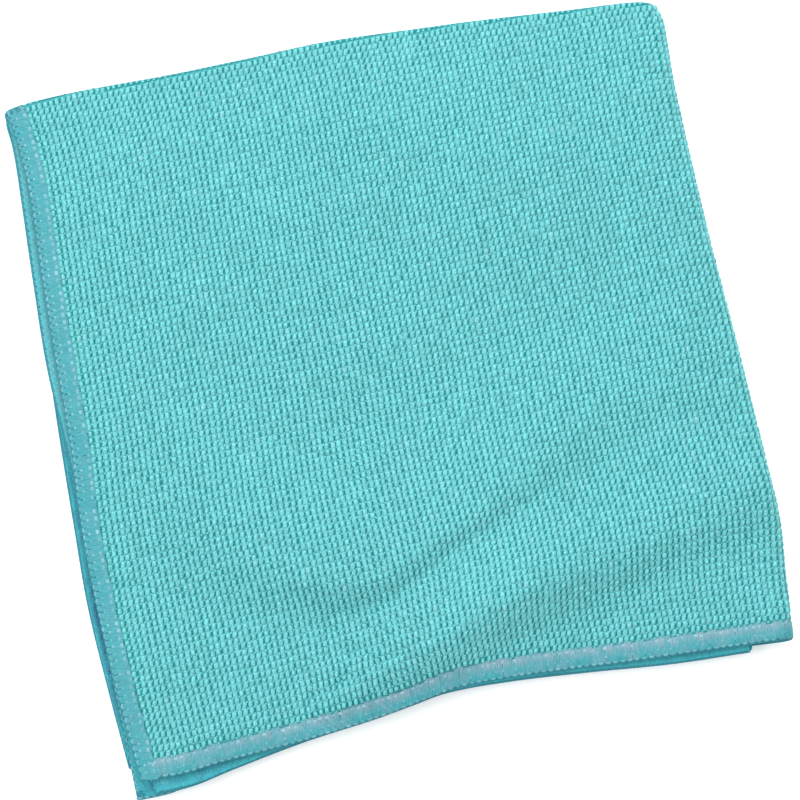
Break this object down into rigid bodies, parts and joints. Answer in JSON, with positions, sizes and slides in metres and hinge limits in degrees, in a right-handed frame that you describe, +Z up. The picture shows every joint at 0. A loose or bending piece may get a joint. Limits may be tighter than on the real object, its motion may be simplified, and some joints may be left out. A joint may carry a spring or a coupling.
{
  "type": "microfibre cleaning cloth",
  "caption": "A square pearl-knit microfibre cloth with an overlocked hem, folded in quarters and lying flat, for wiping and drying surfaces",
  "frame": {"origin": "bottom centre of the bounding box, on the surface that the folded cloth lies on", "axes": "+Z up through the layers, +X to the right fold, +Y to the top fold; the cut edges are at -X and -Y"},
  "size_m": [0.2082, 0.2154, 0.016],
  "materials": {
    "cloth": "matt teal knit pile with a bluer, slightly satiny overlock thread along the cut edges"
  },
  "bodies": {
    "root": {"cloth": "cloth"}
  },
  "joints": []
}
